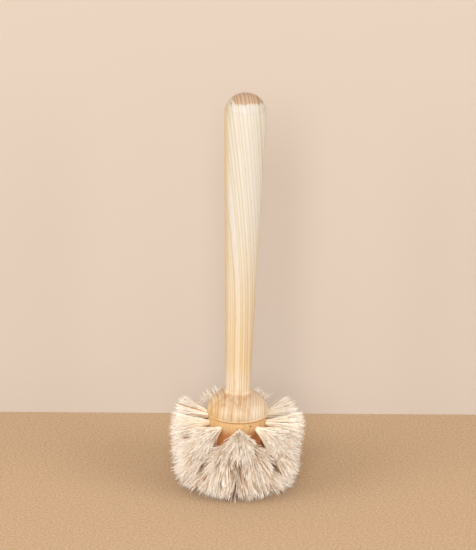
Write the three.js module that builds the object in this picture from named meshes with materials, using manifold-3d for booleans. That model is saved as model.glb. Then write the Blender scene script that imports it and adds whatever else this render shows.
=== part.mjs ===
// A glass cleaning brush: a turned wooden handle whose flared foot is the lid of the brush head,
// a drilled wooden block under that lid, four rows of horsehair tufts drawn into the block's holes by
// a wire, and a pin that locks the block to the handle. Millimetres, +Z up. The origin is on the
// handle's axis at the bristle tips that the brush stands on, and -Y is the front.
import * as THREE from "three";
import { mergeVertices } from "three/addons/utils/BufferGeometryUtils.js";
import Module from "manifold-3d";

const wasm = await Module();
wasm.setup();

// Gap left between pieces that touch on the real brush
const FIT = 0.3;

// Handle
const RIM_HEIGHT = 50; // underside of the foot, above the bristle tips
const HANDLE_LENGTH = 216; // underside of the foot to the end of the grip
const RIM_OVERHANG = 0.9; // how far the foot stands out past the block
const RIM_EASE = 0.5; // rounding of the foot's lower edge
const RIM_BAND = 1.2; // upright edge of the foot, its rounding included
const FOOT_DOME = 15.4; // height that the dome would have without the neck
const FOOT_FILLET = 3.5; // size of the hollow between dome and neck
const NECK_RADIUS = 8.2;
const TAPER_SWELL = 1.6; // the taper's control point, out from the neck and up from the rim: it opens
const TAPER_HEIGHT = 86; // slowly above the neck and faster towards the grip
const GRIP_RADIUS = 13.3;
const GRIP_STRAIGHT = 8; // the widest stretch, below the rounded end
const END_ROUND = 12.5;
const SPIGOT_LENGTH = 5;
const SPIGOT_LEAD = 0.8; // chamfer at the end of the spigot

// Block
const BLOCK_RADIUS = 19.3;
const BLOCK_HEIGHT = 29.7;
const CORNER_RADIUS = 8;
const SHELL_WALL = 6; // the layer that the wide tuft holes go through
const SLICE_WALL = 2; // the inner layer that the tufts are drawn against, with the narrow wire holes
const HEAD_TURN = THREE.MathUtils.degToRad(4); // how far round to the right of the front the drilling starts

// Tufts
const TUFT_RADIUS = 2.3; // the tight bundle in its hole
const TUFT_PROUD = 0.8; // how far the bundle stays tight outside the hole
const WALL_STRANDS = [5, 5, 5]; // strands of one tuft, across each ring of its field from the top down
const END_STRANDS = [6, 4, 2];
const STRAND_ROOT_RADIUS = 0.36;
const STRAND_TIP_RADIUS = 0.8;
const ROOT_SPREAD = 1.75; // radius of the strands' roots on the bundle
const ROOT_SINK = 0.5; // depth of a strand's root in the bundle
const JITTER = 0.35; // scatter of the tips, as a share of half a cell
const WALL_TUFTS = 9; // in each of the three rows round the side
const END_TUFTS = 3;
const UPPER_DROP = 6.1; // hole centres of the upper row, below the rim
const MIDDLE_RISE = 6.5; // hole centres of the middle row, above the floor of the inner layer
const UPPER_DIP = THREE.MathUtils.degToRad(3); // aim below the horizontal
const MIDDLE_DIP = THREE.MathUtils.degToRad(20);
const LOWER_DIP = THREE.MathUtils.degToRad(50);
const END_DIP = THREE.MathUtils.degToRad(82);
const END_CIRCLE = 5.5; // radius of the hole circle on the block's end face

// Trimmed outline of the bristles, a drum with a rounded lower edge
const DRUM_TOP_RADIUS = 44;
const DRUM_TOP_RISE = 4; // top of the drum, above the rim
const DRUM_RADIUS = 45; // at the upper row of holes
const DRUM_FOOT_RADIUS = 43; // where the rounded edge begins
const DRUM_ROUND = 13;
const TIP_CUT = 0.5; // how much of the lowest tips is pressed flat by standing on them

// Draw wire
const WIRE_RADIUS = 0.25;
const WIRE_HOLE_RADIUS = 1.3;
const WIRE_LEG = 0.55; // half the distance between the two legs of a loop
const WIRE_END = 0.4; // how far each loose end runs along the last stretch, as a share of it
const LOOP_POCKET = 0.5; // how far a loop reaches into the folded bundle

// Locking pin, a headed brad
const PIN_LENGTH = 15;
const PIN_RADIUS = 0.5;
const PIN_HEAD_RADIUS = 0.6;
const PIN_HEAD_LENGTH = 0.8;
const PIN_POINT = 1.6;
const PIN_DROP = 3; // below the rim
const PIN_TURN = HEAD_TURN + THREE.MathUtils.degToRad(24);

// Facets
const TURNED_SIDES = 36;
const SLICE_SIDES = 27;
const HOLE_SIDES = 8;
const WIRE_HOLE_SIDES = 6;
const WIRE_SIDES = 4;
const STEPS_PER_LOOP = 10;
const FLATNESS = 0.004; // facets that lie this close to one plane become one

// Derived sizes
const WELD = 1e-4;
const top = RIM_HEIGHT + HANDLE_LENGTH;
const footRadius = BLOCK_RADIUS + RIM_OVERHANG;
const blockTop = RIM_HEIGHT - FIT;
const blockFoot = blockTop - BLOCK_HEIGHT;
const cornerRadius = BLOCK_RADIUS - CORNER_RADIUS;
const cornerHeight = blockFoot + CORNER_RADIUS;
const shellBore = BLOCK_RADIUS - SHELL_WALL;
const sliceRadius = shellBore - FIT;
const sliceBore = sliceRadius - SLICE_WALL;
const sliceFoot = blockFoot + SHELL_WALL + FIT;
const sliceFloor = sliceFoot + SLICE_WALL;
const spigotRadius = sliceBore - FIT;
const wireInset = FIT + WIRE_RADIUS;
const holeRadius = TUFT_RADIUS + FIT;
const pinHoleRadius = PIN_HEAD_RADIUS + FIT;

// Solids

function solidOf(geometry) {
  const bare = geometry.index ? geometry.toNonIndexed() : geometry.clone();
  bare.deleteAttribute("normal");
  bare.deleteAttribute("uv");
  const merged = mergeVertices(bare, WELD);
  const corners = merged.index.array;
  const triangles = [];
  for (let i = 0; i < corners.length; i += 3) {
    const [a, b, c] = corners.slice(i, i + 3);
    if (a !== b && b !== c && c !== a) triangles.push(a, b, c);
  }
  const vertProperties = merged.attributes.position.array;
  const mesh = new wasm.Mesh({ numProp: 3, vertProperties, triVerts: new Uint32Array(triangles) });
  return new wasm.Manifold(mesh);
}

function geometryOf(solid) {
  const { vertProperties, triVerts } = solid.asOriginal().simplify(FLATNESS).getMesh();
  const geometry = new THREE.BufferGeometry();
  geometry.setAttribute("position", new THREE.BufferAttribute(vertProperties, 3));
  geometry.setIndex(new THREE.BufferAttribute(triVerts, 1));
  geometry.computeVertexNormals();
  return geometry;
}

// Turns a profile of [radius, height] points about the Z axis. The profile runs up the outside, and the
// facets start where the drilling does.
function turned(profile, sides = TURNED_SIDES) {
  return solidOf(new THREE.LatheGeometry(profile, sides, HEAD_TURN).rotateX(Math.PI / 2));
}

// A round bar between two points, which may taper.
function bar(from, to, fromRadius, toRadius, sides) {
  const run = to.clone().sub(from);
  const geometry = new THREE.CylinderGeometry(toRadius, fromRadius, run.length(), sides);
  const turn = new THREE.Quaternion().setFromUnitVectors(new THREE.Vector3(0, 1, 0), run.clone().normalize());
  geometry.applyQuaternion(turn);
  const middle = from.clone().addScaledVector(run, 0.5);
  return solidOf(geometry.translate(middle.x, middle.y, middle.z));
}

// A point of the half plane [radius, height] carried round the axis. A turn of 0 faces the front.
function around(point, turn) {
  return new THREE.Vector3(Math.sin(turn) * point.x, -Math.cos(turn) * point.x, point.y);
}

const at = (radius, height) => new THREE.Vector2(radius, height);
const along = (point, aim, distance) => point.clone().addScaledVector(aim, distance);

// Repeatable scatter between -1 and 1
function scatter(seed) {
  const wave = Math.sin(seed * 12.9898) * 43758.5453;
  return 2 * (wave - Math.floor(wave)) - 1;
}

// Rows of tuft holes

// A row's holes in the half plane: the mouth on the block's surface, the aim out of it, the surface's
// own slope there, and where the wire runs behind the holes.
function row(name, count, strands, turn, mouth, dip, surfaceDip, wire) {
  const aim = at(Math.cos(dip), -Math.sin(dip));
  const depth = (SHELL_WALL + FIT) / Math.cos(dip - surfaceDip);
  return { name, count, strands, turn, mouth, aim, root: along(mouth, aim, -depth), wire };
}

function rowOnWall(name, height, dip, turn) {
  const mouth = at(BLOCK_RADIUS, height);
  const wireRadius = sliceBore - wireInset;
  const wireHeight = mouth.y + (mouth.x - wireRadius) * Math.tan(dip);
  return row(name, WALL_TUFTS, WALL_STRANDS, turn, mouth, dip, 0, at(wireRadius, wireHeight));
}

function rowOnCorner(name, dip, turn) {
  const mouth = at(cornerRadius + CORNER_RADIUS * Math.cos(dip), cornerHeight - CORNER_RADIUS * Math.sin(dip));
  return row(name, WALL_TUFTS, WALL_STRANDS, turn, mouth, dip, dip, at(sliceBore - wireInset, sliceFloor + wireInset));
}

function rowOnEnd(name, dip) {
  const wireHeight = sliceFloor + wireInset;
  const wire = at(END_CIRCLE - (wireHeight - blockFoot) / Math.tan(dip), wireHeight);
  return row(name, END_TUFTS, END_STRANDS, 0, at(END_CIRCLE, blockFoot), dip, Math.PI / 2, wire);
}

const halfPitch = Math.PI / WALL_TUFTS;
const rows = [
  rowOnWall("upper", RIM_HEIGHT - UPPER_DROP, UPPER_DIP, 0),
  rowOnWall("middle", sliceFloor + MIDDLE_RISE, MIDDLE_DIP, halfPitch),
  rowOnCorner("lower", LOWER_DIP, 0),
  rowOnEnd("end", END_DIP),
];

function turnsOf({ count, turn }) {
  return Array.from({ length: count }, (_, k) => HEAD_TURN + turn + (2 * Math.PI * k) / count);
}

// Handle

function pinHole() {
  const height = RIM_HEIGHT - PIN_DROP;
  const outside = BLOCK_RADIUS + FIT;
  const inside = BLOCK_RADIUS - PIN_LENGTH - FIT;
  const ends = [inside, outside].map((radius) => around(at(radius, height), PIN_TURN));
  return bar(...ends, pinHoleRadius, pinHoleRadius, HOLE_SIDES);
}

function handleProfile() {
  const spigotEnd = RIM_HEIGHT - SPIGOT_LENGTH;
  const band = RIM_HEIGHT + RIM_BAND;
  // The hollow meets the dome where the dome is one fillet wider than the neck.
  const shoulder = Math.acos((NECK_RADIUS + FOOT_FILLET / 2) / footRadius);
  const dome = new THREE.EllipseCurve(0, band, footRadius, FOOT_DOME, 0, shoulder);
  const shoulderPoint = dome.getPoint(1);
  const neck = at(NECK_RADIUS, shoulderPoint.y + FOOT_FILLET);
  const bend = at(NECK_RADIUS, shoulderPoint.y + FOOT_FILLET / 4);
  const hollow = new THREE.QuadraticBezierCurve(shoulderPoint, bend, neck);
  const gripFoot = at(GRIP_RADIUS, top - END_ROUND - GRIP_STRAIGHT);
  const taper = new THREE.QuadraticBezierCurve(neck, at(NECK_RADIUS + TAPER_SWELL, RIM_HEIGHT + TAPER_HEIGHT), gripFoot);
  const end = new THREE.EllipseCurve(0, top - END_ROUND, GRIP_RADIUS, END_ROUND, 0, Math.PI / 2);
  const ease = new THREE.EllipseCurve(
    footRadius - RIM_EASE, RIM_HEIGHT + RIM_EASE, RIM_EASE, RIM_EASE, -Math.PI / 2, 0,
  );
  return [
    at(0, spigotEnd),
    at(spigotRadius - SPIGOT_LEAD, spigotEnd),
    at(spigotRadius, spigotEnd + SPIGOT_LEAD),
    at(spigotRadius, RIM_HEIGHT),
    ...ease.getPoints(2),
    ...dome.getPoints(7),
    ...hollow.getPoints(4).slice(1),
    ...taper.getPoints(7).slice(1),
    ...end.getPoints(6).slice(0, -1),
    at(0, top),
  ];
}

const handle = turned(handleProfile()).subtract(pinHole());

// Block: a turned cup whose wall and floor are drilled for the tufts

function blockShell() {
  const corner = (radius) =>
    new THREE.EllipseCurve(cornerRadius, cornerHeight, radius, radius, -Math.PI / 2, 0).getPoints(5);
  return turned([
    at(0, blockFoot),
    ...corner(CORNER_RADIUS),
    at(BLOCK_RADIUS, blockTop),
    at(shellBore, blockTop),
    ...corner(CORNER_RADIUS - SHELL_WALL).reverse(),
    at(0, blockFoot + SHELL_WALL),
  ]);
}

// Bars along every hole of a row, from one distance along its aim to another, measured from a point.
function barsAlong(tuftRow, point, from, to, radius, sides) {
  const start = along(point, tuftRow.aim, from);
  const finish = along(point, tuftRow.aim, to);
  return turnsOf(tuftRow).map((turn) => bar(around(start, turn), around(finish, turn), radius, radius, sides));
}

const tuftHoles = rows.flatMap((tuftRow) => {
  const reach = 2 * holeRadius;
  const depth = tuftRow.mouth.distanceTo(tuftRow.root);
  return barsAlong(tuftRow, tuftRow.root, -FIT - TUFT_RADIUS, depth + reach, holeRadius, HOLE_SIDES);
});
const block = blockShell().subtract(wasm.Manifold.union([...tuftHoles, pinHole()]));

// Backing slices: the block's inner layer, cut between the rows so that each row keeps its own part

function backingSlices() {
  const [upper, middle] = rows;
  const firstCut = (upper.root.y + middle.root.y) / 2;
  const secondCut = (middle.root.y - holeRadius + sliceFloor) / 2;
  const floorCut = (rows[3].root.x + cornerRadius) / 2;
  const band = (low, high) => [
    at(sliceBore, low), at(sliceRadius, low), at(sliceRadius, high), at(sliceBore, high), at(sliceBore, low),
  ];
  const rounding = CORNER_RADIUS - SHELL_WALL - FIT;
  const round = new THREE.EllipseCurve(cornerRadius, cornerHeight, rounding, rounding, -Math.PI / 2, 0);
  return [
    band(firstCut + FIT / 2, blockTop),
    band(secondCut + FIT / 2, firstCut - FIT / 2),
    [
      at(floorCut + FIT / 2, sliceFoot),
      ...round.getPoints(3),
      at(sliceRadius, secondCut - FIT / 2),
      at(sliceBore, secondCut - FIT / 2),
      at(sliceBore, sliceFloor),
      at(floorCut + FIT / 2, sliceFloor),
      at(floorCut + FIT / 2, sliceFoot),
    ],
    [at(0, sliceFoot), at(floorCut - FIT / 2, sliceFoot), at(floorCut - FIT / 2, sliceFloor), at(0, sliceFloor)],
  ].map((profile) => turned(profile, SLICE_SIDES));
}

// Bristles: strands that fan out of each tuft to their own field of the trimmed drum

// The drum's outline in the half plane, from its top edge down the side and in to the axis.
function drumOutline() {
  const centre = at(DRUM_FOOT_RADIUS - DRUM_ROUND, DRUM_ROUND - TIP_CUT);
  const outline = new THREE.Path();
  outline.moveTo(DRUM_TOP_RADIUS, RIM_HEIGHT + DRUM_TOP_RISE);
  outline.lineTo(DRUM_RADIUS, RIM_HEIGHT - UPPER_DROP);
  outline.lineTo(DRUM_FOOT_RADIUS, centre.y);
  outline.absarc(centre.x, centre.y, DRUM_ROUND, 0, -Math.PI / 2, true);
  outline.lineTo(0, -TIP_CUT);
  return outline;
}

// Where on the outline, from 0 to 1, a row's aim meets it
function meets(outline, { mouth, aim }) {
  const samples = 400;
  const off = (share) => Math.abs(outline.getPointAt(share).sub(mouth).cross(aim));
  const shares = Array.from({ length: samples + 1 }, (_, i) => i / samples);
  const ahead = shares.filter((share) => outline.getPointAt(share).sub(mouth).dot(aim) > 0);
  return ahead.reduce((best, share) => (off(share) < off(best) ? share : best));
}

// A row's field of the outline reaches halfway to the rows on either side of it.
const outline = drumOutline();
const hits = rows.map((tuftRow) => meets(outline, tuftRow));
const fields = hits.map((hit, k) => {
  const from = k === 0 ? 0 : (hits[k - 1] + hit) / 2;
  const to = k === hits.length - 1 ? 1 : (hit + hits[k + 1]) / 2;
  return { from, to };
});

// Strands keep to their own cell of the field, so that none crosses another.
function strandsOf(tuftRow, field, rowNumber) {
  const { aim, mouth, count, strands } = tuftRow;
  const pitch = (2 * Math.PI) / count;
  const side = at(-aim.y, aim.x);
  const rootCentre = along(mouth, aim, TUFT_PROUD - ROOT_SINK);
  const bars = [];
  turnsOf(tuftRow).forEach((turn, tuft) => {
    strands.forEach((ringCount, ring) => {
      const down = (2 * (ring + 0.5)) / strands.length - 1;
      for (let k = 0; k < ringCount; k++) {
        const seed = 1 + k + 10 * ring + 100 * tuft + 1000 * rowNumber;
        const across = (2 * (k + 0.5)) / ringCount - 1;
        // The square of cells shrinks onto the round bundle.
        const rootAcross = ROOT_SPREAD * across * Math.sqrt(1 - (down * down) / 2);
        const rootDown = ROOT_SPREAD * down * Math.sqrt(1 - (across * across) / 2);
        const root = around(along(rootCentre, side, -rootDown), turn);
        root.addScaledVector(around(at(1, 0), turn + Math.PI / 2), rootAcross);
        const tipAcross = across + (JITTER * scatter(seed)) / ringCount;
        const tipDown = down + (JITTER * scatter(seed + 0.5)) / strands.length;
        const share = THREE.MathUtils.lerp(field.from, field.to, (tipDown + 1) / 2);
        const tip = around(outline.getPointAt(share), turn + (tipAcross * pitch) / 2);
        bars.push(bar(root, tip, STRAND_ROOT_RADIUS, STRAND_TIP_RADIUS, 3));
      }
    });
  });
  return bars;
}

// The surface that the brush stands on presses the lowest tips flat.
function standingSlab() {
  const reach = 2 * DRUM_RADIUS;
  const depth = 10;
  return solidOf(new THREE.BoxGeometry(reach * 2, reach * 2, depth).translate(0, 0, -depth / 2));
}

const slices = backingSlices();
const tufts = rows.map((tuftRow, k) => {
  const { mouth, root } = tuftRow;
  const bundleEnd = mouth.distanceTo(root) + TUFT_PROUD;
  const bundles = barsAlong(tuftRow, root, -SLICE_WALL / 2, bundleEnd, TUFT_RADIUS, HOLE_SIDES);
  const loopEnd = LOOP_POCKET + wireInset;
  const wireHoles = barsAlong(tuftRow, root, -2 * SLICE_WALL, loopEnd, WIRE_HOLE_RADIUS, WIRE_HOLE_SIDES);
  return wasm.Manifold.union([slices[k], ...bundles, ...strandsOf(tuftRow, fields[k], k)])
    .subtract(wasm.Manifold.union([...wireHoles, pinHole()]))
    .subtract(standingSlab());
});

// Draw wires: each runs from hole to hole inside the block and loops into each one round the fold of the tuft

function drawWire(tuftRow) {
  const { wire, aim, root, count } = tuftRow;
  const loopDepth = root.distanceTo(wire) + LOOP_POCKET;
  const points = [];
  for (const turn of turnsOf(tuftRow)) {
    const tangent = around(at(1, 0), turn + Math.PI / 2);
    for (const [leg, depth] of [[-1, 0], [-1, loopDepth], [1, loopDepth], [1, 0]]) {
      points.push(around(along(wire, aim, depth), turn).addScaledVector(tangent, leg * WIRE_LEG));
    }
  }
  // The two ends stop short of each other on the last stretch.
  const first = points[0];
  const last = points[points.length - 1];
  points.push(last.clone().lerp(first, WIRE_END));
  points.unshift(first.clone().lerp(last, WIRE_END));
  const path = new THREE.CatmullRomCurve3(points, false, "catmullrom", 0.1);
  const section = new THREE.Shape(new THREE.EllipseCurve(0, 0, WIRE_RADIUS, WIRE_RADIUS).getPoints(WIRE_SIDES).slice(0, -1));
  const steps = STEPS_PER_LOOP * count;
  return solidOf(new THREE.ExtrudeGeometry(section, { steps, extrudePath: path, bevelEnabled: false }));
}

// Locking pin

function lockingPin() {
  const head = PIN_LENGTH - PIN_HEAD_LENGTH;
  const pin = new THREE.LatheGeometry(
    [
      at(0, 0),
      at(PIN_RADIUS, PIN_POINT),
      at(PIN_RADIUS, head),
      at(PIN_HEAD_RADIUS, head),
      at(PIN_HEAD_RADIUS, PIN_LENGTH),
      at(0, PIN_LENGTH),
    ],
    HOLE_SIDES,
  );
  return solidOf(pin);
}

// Assembly

const paint = (color, roughness, metalness = 0) => new THREE.MeshStandardMaterial({ color, roughness, metalness });
const finishes = {
  handle: paint(0xf3e3c6, 0.55),
  block: paint(0xd9a066, 0.6),
  hair: paint(0xeadfd0, 0.7),
  wire: paint(0xb7b4ab, 0.35, 1),
  pin: paint(0x4a3a2c, 0.5, 1),
};

const brush = new THREE.Group();

function place(name, solid, finish, parent = brush) {
  const mesh = new THREE.Mesh(geometryOf(solid), finish);
  mesh.name = name;
  parent.add(mesh);
}

place("handle", handle, finishes.handle);
place("brush_block", block, finishes.block);
rows.forEach((tuftRow, k) => {
  place(`${tuftRow.name}_tufts`, tufts[k], finishes.hair);
  place(`${tuftRow.name}_draw_wire`, drawWire(tuftRow), finishes.wire);
});

// The pin lies along its hole, with its head flush with the block's wall.
const pinSeat = new THREE.Group();
pinSeat.position.copy(around(at(BLOCK_RADIUS - PIN_LENGTH, RIM_HEIGHT - PIN_DROP), PIN_TURN));
pinSeat.quaternion.setFromUnitVectors(new THREE.Vector3(0, 1, 0), around(at(1, 0), PIN_TURN));
place("locking_pin", lockingPin(), finishes.pin, pinSeat);
brush.add(pinSeat);

export default brush;
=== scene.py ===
import math

import bmesh
import bpy
import numpy as np
from mathutils import Matrix, Vector


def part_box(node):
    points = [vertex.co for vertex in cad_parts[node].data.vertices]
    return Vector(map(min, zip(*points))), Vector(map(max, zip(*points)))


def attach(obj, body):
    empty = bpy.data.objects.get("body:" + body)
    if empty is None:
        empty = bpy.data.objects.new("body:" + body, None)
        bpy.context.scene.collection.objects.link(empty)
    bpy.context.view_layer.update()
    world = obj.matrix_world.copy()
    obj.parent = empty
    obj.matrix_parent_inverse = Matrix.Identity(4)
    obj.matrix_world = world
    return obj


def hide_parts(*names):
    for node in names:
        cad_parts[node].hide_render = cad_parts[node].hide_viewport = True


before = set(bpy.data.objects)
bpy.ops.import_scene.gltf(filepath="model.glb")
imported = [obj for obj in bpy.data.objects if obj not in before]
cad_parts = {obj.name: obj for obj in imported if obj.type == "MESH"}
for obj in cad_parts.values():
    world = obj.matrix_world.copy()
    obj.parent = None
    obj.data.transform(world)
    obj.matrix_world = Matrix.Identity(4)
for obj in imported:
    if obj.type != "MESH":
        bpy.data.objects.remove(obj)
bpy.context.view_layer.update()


# Handle: one length of pale ash, turned on the lathe into a rounded grip, a slow taper, a neck and a
# domed foot that lies over the head like a lid. A short spigot under the foot goes into the block.
# The wood is sanded fine and lightly oiled, and its end grain drinks in the oil and goes browner; that
# browning on the upturned tops is also painted shade.
mm = 0.001
rim_height = 50.0 * mm
rim_ease = 0.5 * mm
rim_band = 1.2 * mm
rim_steps = 6
foot_radius = 20.2 * mm
foot_dome = 15.4 * mm
foot_shoulder = 9.95 * mm
dome_steps = 28
neck_radius = 8.2 * mm
neck_fillet = 3.5 * mm
fillet_pull = 0.875 * mm
fillet_steps = 12
taper_swell = 1.6 * mm
taper_height = 86.0 * mm
taper_steps = 40
grip_radius = 13.3 * mm
grip_straight = 8.0 * mm
grip_round = 12.5 * mm
grip_end_steps = 24
spigot_radius = 10.7 * mm
spigot_lead = 0.8 * mm
spigot_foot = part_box("handle")[0].z
grip_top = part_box("handle")[1].z
handle_steps = 112
handle_crease = 50.0
seam_reach = 1e-7


def arc(middle, reach, start, end, steps):
    """Points of an elliptic arc. Middle and reach are (radius, height) pairs, and the angles are in
    degrees."""
    points = []
    for step in range(steps + 1):
        angle = math.radians(start + (end - start) * step / steps)
        points.append((middle[0] + reach[0] * math.cos(angle), middle[1] + reach[1] * math.sin(angle)))
    return points


def bow(begin, pull, end, steps):
    """Points of a curve from begin to end that is drawn towards the pull point."""
    points = []
    for step in range(steps + 1):
        t = step / steps
        points.append(tuple(
            (1 - t) * (1 - t) * a + 2 * t * (1 - t) * b + t * t * c for a, b, c in zip(begin, pull, end)
        ))
    return points


def show(name, shape, crease):
    """Makes a bmesh a piece that rides on the one body, smooth but for edges sharper than the crease."""
    mesh = bpy.data.meshes.new(name)
    shape.to_mesh(mesh)
    shape.free()
    mesh.shade_smooth()
    mesh.set_sharp_from_angle(angle=math.radians(crease))
    piece = bpy.data.objects.new(name, mesh)
    bpy.context.scene.collection.objects.link(piece)
    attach(piece, "root")
    return piece


def turn_on_lathe(outline, steps):
    """Spins an outline of (radius, height) points, which begins and ends on the axis, into a solid."""
    shape = bmesh.new()
    points = [shape.verts.new((radius, 0.0, height)) for radius, height in outline]
    edges = [shape.edges.new(pair) for pair in zip(points, points[1:])]
    bmesh.ops.spin(
        shape, geom=points + edges, cent=(0, 0, 0), axis=(0, 0, 1), dvec=(0, 0, 0),
        angle=math.tau, steps=steps, use_merge=True,
    )
    bmesh.ops.remove_doubles(shape, verts=shape.verts, dist=seam_reach)
    bmesh.ops.recalc_face_normals(shape, faces=shape.faces)
    return shape


dome_middle = rim_height + rim_band
dome_end = math.degrees(math.acos(foot_shoulder / foot_radius))
dome_crown = dome_middle + foot_dome * math.sin(math.radians(dome_end))
neck_height = dome_crown + neck_fillet
grip_foot = grip_top - grip_round - grip_straight
handle_outline = [(0.0, spigot_foot), (spigot_radius - spigot_lead, spigot_foot)]
handle_outline += [(spigot_radius, spigot_foot + spigot_lead), (spigot_radius, rim_height)]
handle_outline += arc(
    (foot_radius - rim_ease, rim_height + rim_ease), (rim_ease, rim_ease), -90, 0, rim_steps
)
handle_outline += arc((0.0, dome_middle), (foot_radius, foot_dome), 0, dome_end, dome_steps)
handle_outline += bow(
    (foot_shoulder, dome_crown), (neck_radius, dome_crown + fillet_pull), (neck_radius, neck_height),
    fillet_steps,
)[1:]
handle_outline += bow(
    (neck_radius, neck_height), (neck_radius + taper_swell, rim_height + taper_height),
    (grip_radius, grip_foot), taper_steps,
)[1:]
handle_outline += arc(
    (0.0, grip_foot + grip_straight), (grip_radius, grip_round), 0, 90, grip_end_steps
)[:-1]
handle_outline += [(0.0, grip_top)]
handle = show("handle_turned", turn_on_lathe(handle_outline, handle_steps), handle_crease)
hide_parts("handle")


def new_finish(name):
    """A new material, its node tree and the shader that feeds its output."""
    finish = bpy.data.materials.new(name)
    finish.use_nodes = True
    return finish, finish.node_tree, finish.node_tree.nodes["Principled BSDF"]


def put(tree, kind, sockets, **settings):
    """Adds a node. Each socket gets a plain value or a link from another node's output."""
    node = tree.nodes.new(kind)
    for name, value in settings.items():
        setattr(node, name, value)
    for name, value in sockets.items():
        if isinstance(value, bpy.types.NodeSocket):
            tree.links.new(value, node.inputs[name])
        else:
            node.inputs[name].default_value = value
    return node


def reckon(tree, operation, first, second=0.0):
    """A sum on two values."""
    return put(tree, "ShaderNodeMath", {0: first, 1: second}, operation=operation).outputs[0]


def reckon_vector(tree, operation, first, second=(0.0, 0.0, 0.0)):
    """A sum on two vectors, which gives a vector or, for a length or a distance, a value."""
    node = put(tree, "ShaderNodeVectorMath", {0: first, 1: second}, operation=operation)
    return node.outputs["Value" if operation in ("LENGTH", "DISTANCE") else "Vector"]


def spread(tree, value, low, high, out_low=0.0, out_high=1.0):
    """Eases a value from one range into another, and holds it at the ends."""
    sockets = {"Value": value, "From Min": low, "From Max": high, "To Min": out_low, "To Max": out_high}
    return put(tree, "ShaderNodeMapRange", sockets, interpolation_type="SMOOTHSTEP").outputs[0]


def tint(tree, amount, first, second, kind="MIX"):
    """Mixes a second colour into a first. Each is a colour or another node's output."""
    sockets = {0: amount}
    for socket, colour in zip(mix_colour_sockets, (first, second)):
        sockets[socket] = colour if isinstance(colour, bpy.types.NodeSocket) else (*colour, 1.0)
    return put(tree, "ShaderNodeMix", sockets, data_type="RGBA", blend_type=kind).outputs[mix_colour_result]


def shades(tree, value, stops):
    """A run of colours along a value, from (place, colour) stops."""
    node = put(tree, "ShaderNodeValToRGB", {"Fac": value})
    while len(node.color_ramp.elements) < len(stops):
        node.color_ramp.elements.new(0.5)
    for element, (place, colour) in zip(node.color_ramp.elements, stops):
        element.position = place
        element.color = (*colour, 1.0)
    return node.outputs["Color"]


def greys(tree, value, stops):
    """A run of greys along a value, from (place, grey) stops."""
    return shades(tree, value, [(place, (grey, grey, grey)) for place, grey in stops])


def streaks(tree, place, across, along, detail):
    """Noise drawn out along the upright fibres: across and along are its repeats in a metre."""
    drawn = put(tree, "ShaderNodeMapping", {"Vector": place, "Scale": (across, across, along)})
    sockets = {"Vector": drawn.outputs[0], "Scale": 1.0, "Detail": detail, "Roughness": streak_roughness}
    return put(tree, "ShaderNodeTexNoise", sockets)


def growth_rings(tree, place, pith, ring_width, lean, wander):
    """Where a point lies in its year's ring and that year's own grey, both from 0 to 1. The rings lie
    round a pith beside the piece, narrow away from it, and lean over the upper half of the handle."""
    cut = put(tree, "ShaderNodeSeparateXYZ", {"Vector": place})
    rise = reckon(tree, "SUBTRACT", cut.outputs["Z"], lean_height)
    bent = reckon(tree, "SQRT", reckon(tree, "ADD", reckon(tree, "POWER", rise, 2.0), lean_bend ** 2))
    leaning = reckon(tree, "MULTIPLY", reckon(tree, "ADD", rise, bent), lean / 2)
    by_side = reckon(tree, "ADD", reckon(tree, "MULTIPLY", cut.outputs["X"], lean_by_side), 1.0)
    leaning = put(tree, "ShaderNodeCombineXYZ", {"X": reckon(tree, "MULTIPLY", leaning, by_side)})
    swept = reckon_vector(tree, "ADD", place, leaning.outputs[0])
    swing = streaks(tree, swept, *ring_swing).outputs["Color"]
    centred = reckon_vector(tree, "SUBTRACT", swing, (0.5, 0.5, 0.5))
    drift = reckon_vector(tree, "MULTIPLY", centred, (wander, wander, wander))
    strayed = reckon_vector(tree, "ADD", swept, drift)
    sawn = put(tree, "ShaderNodeMapping", {"Vector": strayed, "Location": pith})
    level = reckon_vector(tree, "MULTIPLY", sawn.outputs[0], (1.0, 1.0, 0.0))
    radius = reckon_vector(tree, "LENGTH", level)
    season = put(
        tree, "ShaderNodeTexNoise", {"W": radius, "Scale": season_pace / ring_width, "Detail": 1.0},
        noise_dimensions="1D",
    ).outputs["Fac"]
    years = reckon(tree, "POWER", radius, 2.0)
    years = reckon(tree, "MULTIPLY", years, 0.5 / (ring_width * math.hypot(*pith)))
    years = reckon(tree, "ADD", years, reckon(tree, "MULTIPLY", season, season_swing))
    ring = reckon(tree, "FRACT", years)
    year = put(
        tree, "ShaderNodeTexWhiteNoise", {"W": reckon(tree, "FLOOR", years)}, noise_dimensions="1D"
    ).outputs["Value"]
    return ring, year


mix_colour_sockets = (6, 7)
mix_colour_result = 2
streak_roughness = 0.55
lean_height = 138.0 * mm
lean_bend = 30.0 * mm
lean_by_side = -24.0
ring_swing = (14.0, 5.0, 2.0)
season_pace = 0.3
season_swing = 2.6
ash_pith = (50.0 * mm, 10.0 * mm, 0.0)
ash_ring_width = 1.85 * mm
ash_lean = 0.10
ash_wander = 2.5 * mm
ash_late_wood = (
    (0.0, 0.5), (0.08, 0.15), (0.2, 0.0), (0.58, 0.0), (0.72, 0.75), (0.82, 1.0), (0.94, 0.95), (1.0, 0.5)
)
ash_ring_depths = (0.5, 1.0)
ash_pale = (0.525, 0.505, 0.47)
ash_cream = (0.525, 0.48, 0.41)
ash_warm = (0.545, 0.435, 0.29)
ash_golden = (0.515, 0.375, 0.195)
ash_line = (0.425, 0.38, 0.265)
ash_line_warm = (0.435, 0.28, 0.13)
ash_rim_burnish_and_highlight = (0.76, 0.56, 0.30)
ash_dome_tone_and_shade = (0.835, 0.80, 0.79)
ash_neck = (0.58, 0.485, 0.37)
ash_flesh = (0.57, 0.475, 0.39)
ash_flank_painted_light = (1.17, 1.21, 1.18)
ash_shoulder_shade = (0.86, 0.85, 0.84)
ash_pore = (0.74, 0.62, 0.48)
ash_end_grain_and_shade = (0.84, 0.62, 0.475)
ash_end_line = (0.66, 0.42, 0.29)
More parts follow.
